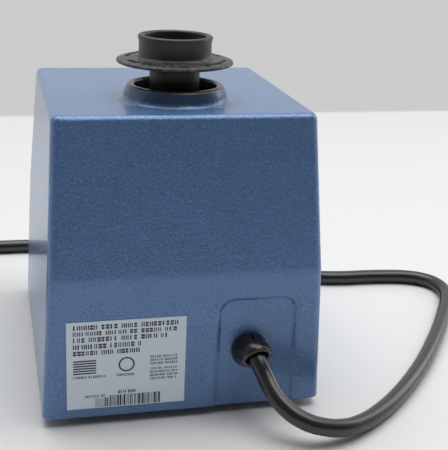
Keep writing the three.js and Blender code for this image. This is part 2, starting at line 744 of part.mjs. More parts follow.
// ---- Assembly -------------------------------------------------------------------------------------
addMesh("housing", housing(), PAINT);
addMesh("base_plate", basePlate(), ZINC);
corners((index, side, end) => {
  addMesh(`foot_${index}`, foot(side * FOOT_X, FOOT_Y[end]), BLACK_RUBBER);
  addMesh(`base_screw_${index}`, screwUp(side * POST_X, POST_Y[end], 1.9, 2.1, 3.4, 20), STEEL);
  addMesh(`motor_screw_${index}`, screwUp(side * SCREW_X, SCREW_Y[end], 95.4, 2.3, 3.4, 115), STEEL);
  const spread = end === 0 ? -BOLT_SPREAD : BOLT_SPREAD;
  addMesh(`motor_bolt_${index}`, motorBolt(side * BOLT_SPREAD, AXIS_Y + spread), STEEL);
});
addMesh("rating_label", ratingLabel(), LABEL);
addMesh("front_plate", frontPlate(), LABEL);

addMesh("stator_stack", statorStack(), LAMINATION);
addMesh("upper_winding", winding(STACK.high + GAP, 96.5), COPPER);
addMesh("lower_winding", winding(49, STACK.low - GAP), COPPER);
addMesh("upper_end_bell", upperBell(), ALUMINIUM);
addMesh("lower_end_bell", lowerBell(), ALUMINIUM);
addMesh("upper_bushing", bushing(92.4, 102.6), BRONZE);
addMesh("lower_bushing", bushing(40.4, 50.6), BRONZE);
addMesh("motor_shaft", motorShaft(), STEEL);
addMesh("rotor_core", rotorCore(), LAMINATION);
addMesh("cooling_fan", coolingFan(), NYLON);

addMesh("crank_hub", crankHub(), STEEL);
addMesh("hub_set_screw", setScrew(), STEEL);
addMesh("bearing_inner_ring", bearingInner(), STEEL);
addMesh("bearing_cage", bearingCage(), BRASS);
addMesh("bearing_outer_ring", bearingOuter(), STEEL);
addMesh("drive_head", driveHead(), ALUMINIUM);
addMesh("splash_disc", splashDisc(), BLACK_RUBBER);
addMesh("mixing_cup", mixingCup(), BLACK_RUBBER);

addMesh("thrust_guide", thrustGuide(), NYLON);
addMesh("thrust_button", thrustButton(), NYLON);
addMesh("return_spring", returnSpring(), STEEL);
addMesh("switch_body", switchBody(), BLACK_PLASTIC);
addMesh("switch_bracket", switchBracket(), ZINC);
addMesh("switch_plunger", switchPlunger(), NYLON);
addMesh("switch_lever", switchLever(), STEEL);
addMesh("lever_pin", pivotBar(0.8, SWITCH.halfDepth), STEEL);

addMesh("terminal_block", terminalBlock(), NYLON);
addMesh("line_lead", lead(LINE_LEAD), BLACK_PLASTIC);
addMesh("neutral_lead", lead(NEUTRAL_LEAD), NYLON);

addMesh("strain_relief", strainRelief(), BLACK_PLASTIC);
addMesh("strain_relief_clip", strainReliefClip(), BLACK_PLASTIC);
addMesh("cord_tube", cordTube(), CORD_PVC);
addMesh("cord_coil", cordCoil(), CORD_PVC);
addMesh("plug_body", plugBody(), CORD_PVC);
addMesh("plug_blade_1", plugBlade(-1), BRASS);
addMesh("plug_blade_2", plugBlade(1), BRASS);
addMesh("plug_ground_pin", plugPin(), BRASS);

export default part;
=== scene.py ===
import json
import math
import random

import bmesh
import bpy
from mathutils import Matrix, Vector


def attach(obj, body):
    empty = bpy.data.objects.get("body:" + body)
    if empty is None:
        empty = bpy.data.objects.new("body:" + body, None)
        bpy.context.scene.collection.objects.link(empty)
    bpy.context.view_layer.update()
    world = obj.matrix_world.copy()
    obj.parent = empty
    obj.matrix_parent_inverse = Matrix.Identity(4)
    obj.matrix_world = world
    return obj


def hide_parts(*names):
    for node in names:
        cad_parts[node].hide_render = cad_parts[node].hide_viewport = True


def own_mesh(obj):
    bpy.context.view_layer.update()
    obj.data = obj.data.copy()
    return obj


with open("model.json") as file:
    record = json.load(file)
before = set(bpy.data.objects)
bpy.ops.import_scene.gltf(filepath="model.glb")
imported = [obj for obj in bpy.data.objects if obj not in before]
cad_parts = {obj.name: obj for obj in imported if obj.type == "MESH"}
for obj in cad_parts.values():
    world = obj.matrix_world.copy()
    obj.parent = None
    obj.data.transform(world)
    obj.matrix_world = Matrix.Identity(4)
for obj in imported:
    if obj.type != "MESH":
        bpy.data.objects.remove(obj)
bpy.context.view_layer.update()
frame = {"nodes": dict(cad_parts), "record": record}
MM = 0.001
scene = bpy.context.scene
scene.view_settings.view_transform = "Standard"

# ---- Sizes in millimetres, as in the CAD model; only CORNER_RADIUS is smaller here ----
BASE_Z, CREASE_Z, TOP_Z = 4.0, 66.0, 131.7
HALF_WIDTH, SIDE_DRAFT = 61.0, 0.05
REAR = {"base": 72.3, "crease": 74.0, "top": 63.4}
FRONT = {"base": -81.0, "crease": -84.0, "top": -47.3}
REAR_LEAN = (REAR["crease"] - REAR["base"]) / (CREASE_Z - BASE_Z)
CORNER_RADIUS, TOP_ROUND, CREASE_ROUND, WALL = 4.0, 2.6, 2.4, 3.5
AXIS_Y, HEAD_Y = 32.0, 29.8
COLLAR = {"hole": 17.6, "rim": 21.0, "foot": 25.2, "height": 7.0, "fillet": 3.4, "hang": 0.6}
PANEL = {"left": -46.5, "right": -14.0, "top": 54.5, "depth": 1.1, "radius": 6.0}
GLAND_X, GLAND_Z, GLAND_HOLE = -27.3, 30.8, 5.6
MOUTH = Vector((-28.8, 80.1, 29.8))
MOUTH_DIRECTION = Vector((-0.15, 0.84, -0.52)).normalized()
CORD_RADIUS = 3.85
COIL_X, COIL_Y, COIL_MIDDLE = 138.0, -91.0, 44.5
PLUG_X, PLUG_Z = 186.4, 11.55
PLUG_START, PLUG_BODY, PLUG_FACE = -61.4, -45.4, -11.4
FOOT_X, FOOT_Y = 44, (-62, 54)
POST_X, POST_Y = 52, (-70, 62)
LABEL = {"left": 50.8, "top": 49.0, "proud": 0.4}
INK = 0.05

# ---- The floor's half side in metres, where it starts and ends its fade ----
FLOOR_EDGE = (0.513, 0.527)


# ---- Camera: its place in metres, its turn in degrees ----
CAMERA_PLACE = (0.07542, 0.42587, 0.21456)
CAMERA_TURN = (70.843, -2.275, 166.63)
CAMERA_LENS = 75.665


def make_camera():
    data = bpy.data.cameras.new("camera")
    data.sensor_width = 36
    data.lens = CAMERA_LENS
    data.clip_start = 0.01
    data.clip_end = 50
    camera = bpy.data.objects.new("camera", data)
    scene.collection.objects.link(camera)
    camera.location = CAMERA_PLACE
    camera.rotation_euler = [math.radians(angle) for angle in CAMERA_TURN]
    scene.camera = camera


make_camera()


# ---- Materials ----
class Finish:
    """A principled material with a few short-cuts for its nodes."""

    def __init__(self, name, color, roughness, metallic=0.0, specular=0.5):
        self.material = bpy.data.materials.new(name)
        self.material.use_nodes = True
        self.nodes = self.material.node_tree.nodes
        self.links = self.material.node_tree.links
        self.shader = self.nodes["Principled BSDF"]
        self.shader.inputs["Base Color"].default_value = (*color, 1)
        self.shader.inputs["Roughness"].default_value = roughness
        self.shader.inputs["Metallic"].default_value = metallic
        self.shader.inputs["Specular IOR Level"].default_value = specular
        self.place = self.nodes.new("ShaderNodeTexCoord").outputs["Object"]

    def noise(self, scale, detail=2.0):
        node = self.nodes.new("ShaderNodeTexNoise")
        node.inputs["Scale"].default_value = scale
        node.inputs["Detail"].default_value = detail
        self.links.new(self.place, node.inputs["Vector"])
        return node.outputs["Fac"]

    def math(self, operation, a, b):
        node = self.nodes.new("ShaderNodeMath")
        node.operation = operation
        for socket, value in zip(node.inputs, (a, b)):
            if isinstance(value, (int, float)):
                socket.default_value = value
            else:
                self.links.new(value, socket)
        return node.outputs["Value"]

    def mix(self, factor, a, b):
        node = self.nodes.new("ShaderNodeMix")
        node.data_type = "RGBA"
        for socket, value in zip((node.inputs["Factor"], node.inputs[6], node.inputs[7]), (factor, a, b)):
            if isinstance(value, tuple):
                socket.default_value = (*value, 1)
            else:
                self.links.new(value, socket)
        return node.outputs[2]

    def along(self, axis):
        node = self.nodes.new("ShaderNodeSeparateXYZ")
        self.links.new(self.place, node.inputs["Vector"])
        return node.outputs[axis]

    def span(self, source, low, high):
        node = self.nodes.new("ShaderNodeMapRange")
        node.interpolation_type = "SMOOTHSTEP"
        node.inputs["From Min"].default_value = low
        node.inputs["From Max"].default_value = high
        self.links.new(source, node.inputs["Value"])
        return node.outputs["Result"]

    def bump(self, height, distance, strength=1.0):
        node = self.nodes.new("ShaderNodeBump")
        node.inputs["Distance"].default_value = distance
        node.inputs["Strength"].default_value = strength
        self.links.new(height, node.inputs["Height"])
        current = self.shader.inputs["Normal"]
        if current.is_linked:
            self.links.new(current.links[0].from_socket, node.inputs["Normal"])
        self.links.new(node.outputs["Normal"], current)

    def color(self, source):
        self.links.new(source, self.shader.inputs["Base Color"])

    def roughness(self, source, low, high):
        node = self.nodes.new("ShaderNodeMapRange")
        node.inputs["To Min"].default_value = low
        node.inputs["To Max"].default_value = high
        self.links.new(source, node.inputs["Value"])
        self.links.new(node.outputs["Result"], self.shader.inputs["Roughness"])


def paint_finish():
    f = Finish("blue_hammertone_paint", (0.1, 0.2, 0.4), 0.3, 0.32, 0.4)
    f.shader.inputs["Coat Weight"].default_value = 0.3
    f.shader.inputs["Coat Roughness"].default_value = 0.05
    # Soft blotches, then fine light speckle, then a few pale flecks.
    base = f.mix(f.span(f.noise(70, 3), 0.3, 0.7), (0.088, 0.178, 0.352), (0.1, 0.196, 0.388))
    base = f.mix(f.span(f.noise(1300, 2), 0.4, 0.7), base, (0.14, 0.248, 0.475))
    cells = f.nodes.new("ShaderNodeTexVoronoi")
    cells.inputs["Scale"].default_value = 520
    f.links.new(f.place, cells.inputs["Vector"])
    fleck = f.math("LESS_THAN", cells.outputs["Distance"], 0.12)
    chosen = f.math("GREATER_THAN", f.noise(110, 1), 0.58)
    base = f.mix(f.math("MULTIPLY", fleck, chosen), base, (0.2, 0.28, 0.43))
    # Painted shade on the collar's side under the flange, bare metal worn on its rim, and painted shade in
    # the bore.
    reach = f.nodes.new("ShaderNodeVectorMath")
    reach.operation = "DISTANCE"
    reach.inputs[1].default_value = (0, AXIS_Y * MM, (TOP_Z + 3) * MM)
    f.links.new(f.place, reach.inputs[0])
    # Painted shade: the collar is darkened from its foot upwards, as under the flange above it.
    shade_height = f.math("ADD", f.along("Z"), f.math("MULTIPLY", f.noise(300, 3), 0.003))
    painted_shade = f.math("MULTIPLY", f.span(shade_height, (TOP_Z + 1.6) * MM, (TOP_Z + 4.5) * MM), 0.72)
    base = f.mix(painted_shade, base, (0.02, 0.03, 0.05))
    edge = f.math("ADD", f.along("Z"), f.math("MULTIPLY", f.noise(240, 2), 0.0009))
    worn = f.math("MULTIPLY", f.span(edge, (TOP_Z + 6.2) * MM, (TOP_Z + 7.0) * MM), 0.9)
    base = f.mix(worn, base, (0.07, 0.072, 0.075))
    # Painted shade in the bore: a darker grey inside the hole.
    bore_shade = f.math("LESS_THAN", reach.outputs["Value"], (COLLAR["hole"] + 1.2) * MM)
    base = f.mix(bore_shade, base, (0.08, 0.09, 0.11))
    f.color(base)
    f.roughness(f.noise(500, 2), 0.24, 0.36)
    f.bump(f.noise(1500, 1), 0.0002, 0.4)
    f.bump(f.noise(700, 2), 0.0005, 0.36)
    return f.material


def plain_finish(
    name, color, roughness, metallic=0.0, scale=300, change=0.25, depth=0.00008, specular=0.5
):
    """One colour with a fine grain; change is how far the grain goes to either side of it."""
    f = Finish(name, color, roughness, metallic, specular)
    grain = f.noise(scale, 3)
    dark = tuple(c * (1 - change) for c in color)
    light = tuple(min(c * (1 + change), 1) for c in color)
    f.color(f.mix(grain, dark, light))
    f.roughness(f.noise(scale * 0.4, 2), roughness * 0.8, min(roughness * 1.2, 1))
    f.bump(f.noise(scale * 3, 2), depth, 0.5)
    return f.material


def cup_finish():
    """Black rubber with dust on the flange's top."""
    f = Finish("moulded_rubber", (0.018, 0.018, 0.02), 0.42)
    body = f.mix(f.noise(260, 3), (0.013, 0.013, 0.014), (0.024, 0.024, 0.026))
    level = f.span(f.along("Z"), 147.0 * MM, 148.2 * MM)
    above = f.math("SUBTRACT", 1.0, f.span(f.along("Z"), 149.6 * MM, 150.4 * MM))
    shelf = f.math("MULTIPLY", level, above)
    dust = f.math("MULTIPLY", shelf, f.span(f.noise(420, 4), 0.42, 0.62))
    f.color(f.mix(dust, body, (0.085, 0.083, 0.08)))
    f.roughness(f.noise(150, 2), 0.36, 0.5)
    f.bump(f.noise(900, 2), 0.0001, 0.5)
    return f.material


def hood_finish():
    """Glossy black nylon, with a lighter brownish band on the rim round the mouth."""
    f = Finish("hood_nylon", (0.012, 0.012, 0.012), 0.16)
    offset = f.nodes.new("ShaderNodeVectorMath")
    offset.operation = "SUBTRACT"
    offset.inputs[1].default_value = tuple(MOUTH * MM)
    f.links.new(f.place, offset.inputs[0])
    depth = f.nodes.new("ShaderNodeVectorMath")
    depth.operation = "DOT_PRODUCT"
    depth.inputs[1].default_value = tuple(MOUTH_DIRECTION)
    f.links.new(offset.outputs["Vector"], depth.inputs[0])
    rim = f.span(depth.outputs["Value"], -0.9 * MM, -0.3 * MM)
    # A lighter brownish tone on the rim round the mouth.
    rim_tone = f.mix(f.noise(700, 3), (0.03, 0.025, 0.021), (0.075, 0.064, 0.055))
    f.color(f.mix(rim, (0.012, 0.012, 0.012), rim_tone))
    f.roughness(f.noise(500, 3), 0.12, 0.3)
    f.bump(f.noise(900, 2), 0.0002, 0.35)
    return f.material


def lamination_finish():
    f = Finish("stacked_sheets", (0.2, 0.2, 0.21), 0.45, 0.8)
    wave = f.nodes.new("ShaderNodeTexWave")
    wave.bands_direction = "Z"
    wave.inputs["Scale"].default_value = 300
    f.links.new(f.place, wave.inputs["Vector"])
    f.color(f.mix(wave.outputs["Fac"], (0.1, 0.1, 0.105), (0.26, 0.26, 0.27)))
    f.bump(wave.outputs["Fac"], 0.0002, 0.7)
    return f.material


def winding_finish():
    f = Finish("copper_wire", (0.45, 0.16, 0.06), 0.3, 0.9)
    wave = f.nodes.new("ShaderNodeTexWave")
    wave.wave_type = "RINGS"
    wave.rings_direction = "Z"
    wave.inputs["Scale"].default_value = 350
    f.links.new(f.place, wave.inputs["Vector"])
    f.color(f.mix(wave.outputs["Fac"], (0.25, 0.08, 0.03), (0.55, 0.22, 0.09)))
    f.bump(wave.outputs["Fac"], 0.0003, 0.8)
    return f.material


FINISHES = {
    "paint": paint_finish(),
    "cup_rubber": cup_finish(),
    "lamination": lamination_finish(),
    "copper_winding": winding_finish(),
    "zinc_plate": plain_finish("zinc_plated_sheet", (0.5, 0.51, 0.53), 0.4, 1.0, 90),
    "foot_rubber": plain_finish("foot_rubber", (0.02, 0.02, 0.02), 0.75, 0.0, 500, 0.35, 0.00015),
    "steel": plain_finish("machined_steel", (0.42, 0.43, 0.44), 0.3, 1.0, 250, 0.15),
    "label": plain_finish("printed_foil", (0.77, 0.86, 0.97), 0.45, 0.0, 220, 0.04, 0.00003),
    "cast_aluminium": plain_finish("cast_aluminium", (0.5, 0.51, 0.52), 0.5, 1.0, 350, 0.15, 0.0002),
    "bronze": plain_finish("sintered_bronze", (0.36, 0.23, 0.1), 0.5, 1.0, 900, 0.3, 0.0001),
    "nylon": plain_finish("natural_nylon", (0.7, 0.67, 0.58), 0.5, 0.0, 200, 0.05),
    "black_plastic": plain_finish("moulded_nylon", (0.012, 0.012, 0.012), 0.2, 0.0, 300, 0.3, 0.00006),
    "cord_pvc": plain_finish("cord_jacket", (0.013, 0.014, 0.015), 0.29, 0.0, 260, 0.3, 0.00006, 0.75),
    "brass_pin": plain_finish("bare_brass", (0.55, 0.38, 0.14), 0.25, 1.0, 300, 0.12),
    "print": plain_finish("printed_ink", (0.035, 0.035, 0.04), 0.6, 0.0, 900, 0.3, 0.00002),
    "hood": hood_finish(),
}

for row in frame["record"]["subparts"]:
    for slot in frame["nodes"][row["node"]].material_slots:
        slot.material = FINISHES[row["material_slot"]]


# ---- Mesh helpers: points are in millimetres ----
def to_object(name, bm, body, slot, finish=None, sharp=35):
    bmesh.ops.remove_doubles(bm, verts=bm.verts, dist=1e-7)
    bmesh.ops.recalc_face_normals(bm, faces=bm.faces)
    for edge in bm.edges:
        edge.smooth = len(edge.link_faces) == 2 and edge.calc_face_angle(0) < math.radians(sharp)
    for face in bm.faces:
        face.smooth = True
    mesh = bpy.data.meshes.new(name)
    bm.to_mesh(mesh)
    bm.free()
    piece = bpy.data.objects.new(name, mesh)
    scene.collection.objects.link(piece)
    mesh.materials.append(FINISHES[finish or slot])
    if body:
        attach(piece, body)
    return piece


def loft(rings, bm=None, close=True):
    """A closed body through rings of points, all with the same count."""
    bm = bm or bmesh.new()
    made = [[bm.verts.new(Vector(p) * MM) for p in ring] for ring in rings]
    count = len(made[0])
    for lower, upper in zip(made, made[1:]):
        for i in range(count):
            j = (i + 1) % count
            bm.faces.new((lower[i], lower[j], upper[j], upper[i]))
    if close:
        bm.faces.new(list(reversed(made[0])))
        bm.faces.new(made[-1])
    return bm


def lathe(profile, centre, segments=96, axis="Z", bm=None):
    """A closed turned body from (radius, height) points. A profile that starts on the axis ends on it."""
    bm = bm or bmesh.new()
    cx, cy, cz = centre
    rows = []
    for radius, height in profile:
        row = []
        for i in range(segments if radius > 1e-6 else 1):
            angle = 2 * math.pi * i / segments
            u, v = radius * math.cos(angle), radius * math.sin(angle)
            point = (cx + u, cy + v, cz + height) if axis == "Z" else (cx + u, cy + height, cz + v)
            row.append(bm.verts.new(Vector(point) * MM))
        rows.append(row)
    pairs = list(zip(rows, rows[1:]))
    if len(rows[0]) > 1:
        pairs.append((rows[-1], rows[0]))
    for a, b in pairs:
        for i in range(segments):
            j = (i + 1) % segments
            corners = [a[i % len(a)], a[j % len(a)], b[j % len(b)], b[i % len(b)]]
            face = list(dict.fromkeys(corners))
            if len(face) > 2:
                bm.faces.new(face)
    return bm


def box_into(bm, low, high):
    x0, y0, z0 = low
    x1, y1, z1 = high
    ring = [(x0, y0), (x1, y0), (x1, y1), (x0, y1)]
    return loft([[(x, y, z0) for x, y in ring], [(x, y, z1) for x, y in ring]], bm)


def settle(piece):
    """Applies the piece's modifiers."""
    graph = bpy.context.evaluated_depsgraph_get()
    mesh = bpy.data.meshes.new_from_object(piece.evaluated_get(graph))
    piece.modifiers.clear()
    piece.data = mesh


def combine(piece, bm, operation):
    """Cuts the body in bm out of the piece, or joins it on."""
    other = to_object("tool", bm, None, "paint")
    modifier = piece.modifiers.new("join", "BOOLEAN")
    modifier.object = other
    modifier.operation = operation
    modifier.solver = "EXACT"
    settle(piece)
    bpy.data.objects.remove(other)


def reshade(piece, sharp=35, weighted=True):
    """Cleans the mesh after its cuts and marks its sharp edges again."""
    bm = bmesh.new()
    bm.from_mesh(piece.data)
    bmesh.ops.remove_doubles(bm, verts=bm.verts, dist=2e-7)
    bmesh.ops.dissolve_degenerate(bm, dist=1e-7, edges=bm.edges)
    for edge in bm.edges:
        edge.smooth = len(edge.link_faces) == 2 and edge.calc_face_angle(0) < math.radians(sharp)
    for face in bm.faces:
        face.smooth = True
    bm.to_mesh(piece.data)
    bm.free()
    if weighted:
        modifier = piece.modifiers.new("normals", "WEIGHTED_NORMAL")
        modifier.keep_sharp = True
        modifier.weight = 80
        settle(piece)


# ---- Cord ----
ON_TABLE = CORD_RADIUS + 0.05
TIE = 0.8
# The cord's route in metres; LOW is its height where it lies on the table.
LOW = ON_TABLE * MM
ROUTE = [
    (-0.031, 0.085, 0.0248),
    (-0.0335, 0.0916, 0.0193),
    (-0.0379, 0.0978, 0.0147),
    (-0.0444, 0.1021, 0.0111),
    (-0.0526, 0.1037, 0.0085),
    (-0.0616, 0.1024, 0.0065),
    (-0.0716, 0.0974, 0.0049),
    (-0.084, 0.0884, 0.0041),
    (-0.097, 0.0766, LOW),
    (-0.1109, 0.0618, LOW),
    (-0.1246, 0.0452, LOW),
    (-0.1376, 0.0275, LOW),
    (-0.1496, 0.01, LOW),
    (-0.16, -0.0065, LOW),
    (-0.1684, -0.021, LOW),
    (-0.1734, -0.0335, LOW),
    (-0.1736, -0.0442, LOW),
    (-0.1686, -0.0528, LOW),
    (-0.1596, -0.058, LOW),
    (-0.148, -0.0604, LOW),
    (-0.134, -0.0615, LOW),
    (-0.121, -0.062, LOW),
    (-0.107, -0.0644, LOW),
    (-0.092, -0.071, LOW),
    (-0.0775, -0.0818, LOW),
    (-0.063, -0.0945, LOW),
    (-0.047, -0.107, LOW),
    (-0.028, -0.1185, LOW),
    (-0.006, -0.128, LOW),
    (0.017, -0.1345, LOW),
    (0.04, -0.138, LOW),
    (0.065, -0.1392, LOW),
    (0.09, -0.1394, LOW),
    (0.115, -0.1394, LOW + TIE * 0.6 * MM),
]
COIL_TURNS = 3.25
STEPS_A_TURN = 24


def coil_points():
    """Turns that lie two by two. They share the first quarter, and swap places over the rest of each turn."""
    half = CORD_RADIUS * math.sqrt(2)
    points = []
    for step in range(int(COIL_TURNS * STEPS_A_TURN) + 1):
        turn, part = divmod(step / STEPS_A_TURN, 1)
        swap = max(0.0, (part - 0.25) / 0.75)
        swap = swap * swap * (3 - 2 * swap)
        phase = math.radians(-45 - 90 * (turn + swap))
        drop = max(-math.sin(math.radians(-45 - 90 * (k + swap))) for k in range(4))
        angle = 2 * math.pi * (turn + part) - math.pi / 2
        radius = COIL_MIDDLE + half * math.cos(phase)
        height = ON_TABLE + TIE + half * (drop + math.sin(phase))
        points.append((COIL_X + radius * math.cos(angle), COIL_Y + radius * math.sin(angle), height))
    return points


def make_cord():
    start = [MOUTH - MOUTH_DIRECTION * 6, MOUTH + MOUTH_DIRECTION]
    ending = [(PLUG_X, COIL_Y + 14, PLUG_Z + 0.5), (PLUG_X, PLUG_START + 3, PLUG_Z)]
    points = [Vector(p) * MM for p in start]
    points += [Vector(p) for p in ROUTE]
    points += [Vector(p) * MM for p in coil_points() + ending]
    data = bpy.data.curves.new("mains_cord", "CURVE")
    data.dimensions = "3D"
    data.bevel_depth = CORD_RADIUS * MM
    data.bevel_resolution = 8
    data.resolution_u = 8
    data.use_fill_caps = True
    spline = data.splines.new("BEZIER")
    spline.bezier_points.add(len(points) - 1)
    for target, point in zip(spline.bezier_points, points):
        target.co = point
        target.handle_left_type = target.handle_right_type = "AUTO"
    cord = bpy.data.objects.new("mains_cord", data)
    scene.collection.objects.link(cord)
    data.materials.append(FINISHES["cord_pvc"])
    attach(cord, "base")
    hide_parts("cord_tube", "cord_coil")
    return cord


def make_tie():
    """A strap round the four turns where they lie two by two."""
    place = math.radians(-45)
    outward = Vector((math.cos(place), math.sin(place), 0))
    along = Vector((-math.sin(place), math.cos(place), 0))
    centre = Vector((COIL_X, COIL_Y, ON_TABLE + TIE + CORD_RADIUS)) + outward * COIL_MIDDLE

    def ring(reach, shift):
        points = []
        for quarter, (sx, sz) in enumerate(((1, 1), (-1, 1), (-1, -1), (1, -1))):
            for step in range(7):
                turn = math.radians(90 * quarter + 15 * step)
                u = sx * CORD_RADIUS + reach * math.cos(turn)
                v = sz * CORD_RADIUS + reach * math.sin(turn)
                points.append(centre + outward * u + Vector((0, 0, v)) + along * shift)
        return points

    inner, outer, half = CORD_RADIUS + 0.02, CORD_RADIUS + 0.62, 6.0
    rings = [ring(inner, -half), ring(outer - 0.2, -half), ring(outer, -half + 0.3)]
    rings += [ring(outer, half - 0.3), ring(outer - 0.2, half), ring(inner, half)]
    bm = loft(rings + rings[:1], close=False)
    return to_object("cord_tie", bm, "base", "cord_pvc", "foot_rubber")


def superellipse(y, half_width, half_height, power, count=48):
    """A section of the plug; a power of 2 gives an ellipse, and a higher one squarer corners."""
    ring = []
    for i in range(count):
        angle = 2 * math.pi * i / count
        c, s = math.cos(angle), math.sin(angle)
        x = math.copysign(abs(c) ** (2 / power), c) * half_width
        z = math.copysign(abs(s) ** (2 / power), s) * half_height
        ring.append((PLUG_X + x, y, PLUG_Z + z))
    return ring


def make_plug():
    rings = []
    for rib in range(5):
        start = PLUG_START + 3.2 * rib
        for offset, radius in ((0.1, 4.3), (0.5, 4.9), (2.1, 5.1), (2.5, 4.4)):
            rings.append(superellipse(start + offset, radius, radius, 2))
    rings.append(superellipse(PLUG_BODY + 0.4, 6.6, 6.6, 2.3))
    rings.append(superellipse(PLUG_BODY + 1.4, 7.4, 7.4, 2.6))
    for step in range(1, 9):
        t = step / 8
        rise = t * t * (3 - 2 * t)
        rings.append(superellipse(PLUG_BODY + 1.4 + 12 * t, 7.4 + 5 * rise, 7.4 + 3.9 * rise, 2.6 + rise))
    for groove in range(3):
        y = PLUG_BODY + 16.5 + 3.2 * groove
        for offset, depth in ((0, 0), (0.4, 0.6), (1.2, 0.6), (1.6, 0)):
            rings.append(superellipse(y + offset, 12.4 - depth, 11.3 - depth * 0.3, 3.6))
    rings.append(superellipse(PLUG_FACE - 1.0, 12.4, 11.3, 3.6))
    rings.append(superellipse(PLUG_FACE - 0.3, 12.1, 11.0, 3.6))
    rings.append(superellipse(PLUG_FACE, 11.4, 10.3, 3.6))
    body = to_object("plug_grip", loft(rings), "base", "cord_pvc", sharp=50)
    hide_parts("plug_body")
    pin = [(0, -5), (2.38, -5), (2.38, 17), (2.2, 18.2), (1.6, 19.3), (0.8, 19.9), (0, 20)]
    turned_pin = lathe(pin, (PLUG_X, PLUG_FACE, PLUG_Z + 8.4), 40, "Y")
    ground = to_object("ground_pin", turned_pin, "base", "brass_pin")
    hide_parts("plug_ground_pin")
    return [body, ground, "plug_blade_1", "plug_blade_2"]


cord = make_cord()
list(make_plug())
make_tie()


# ---- Housing ----
def between(z, ends):
    """The wall's place at a height: two straight slopes, with the crease between them rounded."""
    low = ends["base"] + (ends["crease"] - ends["base"]) * (z - BASE_Z) / (CREASE_Z - BASE_Z)
    high = ends["crease"] + (ends["top"] - ends["crease"]) * (z - CREASE_Z) / (TOP_Z - CREASE_Z)
    if z < CREASE_Z - CREASE_ROUND:
        return low
    if z > CREASE_Z + CREASE_ROUND:
        return high
    slope_low = (ends["crease"] - ends["base"]) / (CREASE_Z - BASE_Z)
    slope_high = (ends["top"] - ends["crease"]) / (TOP_Z - CREASE_Z)
    t = z - CREASE_Z + CREASE_ROUND
    start = ends["crease"] - slope_low * CREASE_ROUND
    return start + slope_low * t + (slope_high - slope_low) * t * t / (4 * CREASE_ROUND)


def section(z, inset, steps=10):
    """The housing's outline at a height, moved inwards by inset."""
    half_width = HALF_WIDTH - SIDE_DRAFT * (z - BASE_Z) - inset
    rear, front = between(z, REAR) - inset, between(z, FRONT) + inset
    radius = max(CORNER_RADIUS - inset, 1.5)
    centres = [
        (half_width - radius, rear - radius, 0),
        (-half_width + radius, rear - radius, 90),
        (-half_width + radius, front + radius, 180),
        (half_width - radius, front + radius, 270),
    ]
    ring = []
    for x, y, start in centres:
        for step in range(steps + 1):
            angle = math.radians(start + 90 * step / steps)
            ring.append((x + radius * math.cos(angle), y + radius * math.sin(angle), z))
    return ring


def housing_levels(inset):
    levels = [BASE_Z + 12, 30, 48, 60]
    levels += [CREASE_Z + CREASE_ROUND * (step / 4 - 1) for step in range(9)]
    levels += [76, 94, 112, 124]
    return [section(z, inset) for z in levels]


def collar_profile():
    """The collar round the top hole: bore, rolled lip, and a fillet down to the top of the housing."""
    hole, rim, foot, fillet = COLLAR["hole"], COLLAR["rim"], COLLAR["foot"], COLLAR["fillet"]
    lip, low = TOP_Z + COLLAR["height"], TOP_Z - WALL - COLLAR["hang"]
    profile = [(hole, low), (hole, lip - 1.1)]
    for step in range(1, 6):
        angle = math.radians(18 * step)
        profile.append((hole + 1.0 * (1 - math.cos(angle)), lip - 1.1 + 1.0 * math.sin(angle)))
    profile.append((rim - 1.5, lip - 0.05))
    for step in range(1, 6):
        angle = math.radians(16 * step)
        profile.append((rim - 1.5 + 1.6 * math.sin(angle), lip - 0.05 - 1.6 * (1 - math.cos(angle))))
    wall_foot = foot - fillet
    profile.append((rim + 0.25, lip - 1.9))
    for step in range(9):
        angle = math.radians(85 * step / 8)
        profile.append((wall_foot + fillet * (1 - math.cos(angle)), TOP_Z + fillet * (1 - math.sin(angle))))
    return profile + [(foot + 0.3, TOP_Z - 0.5), (foot, low)]


def panel_cutter():
    """The shallow panel where the cord leaves: an arch in the rear wall, with a soft step all round."""
    rings = []
    radius, top, spread = PANEL["radius"], PANEL["top"], 1.5
    steps = [(-PANEL["depth"], -0.9), (-1.07, -0.5), (-0.95, -0.15), (-0.7, 0.1)]
    steps += [(-0.4, 0.35), (-0.15, 0.75), (0.0, 1.3), (0.3, 2.4)]
    for depth, grow in steps:
        outline = [(PANEL["right"] + 0.8 + grow * spread, BASE_Z - 3)]
        for start, x in ((0, PANEL["right"] - radius), (90, PANEL["left"] + radius)):
            for step in range(9):
                angle = math.radians(start + 90 * step / 8)
                wide, tall = radius + grow * spread, radius + grow
                outline.append((x + wide * math.cos(angle), top - radius + tall * math.sin(angle)))
        outline.append((PANEL["left"] - 0.8 - grow * spread, BASE_Z - 3))
        rings.append([(x, REAR["base"] + depth + REAR_LEAN * (z - BASE_Z), z) for x, z in outline])
    return loft(rings)


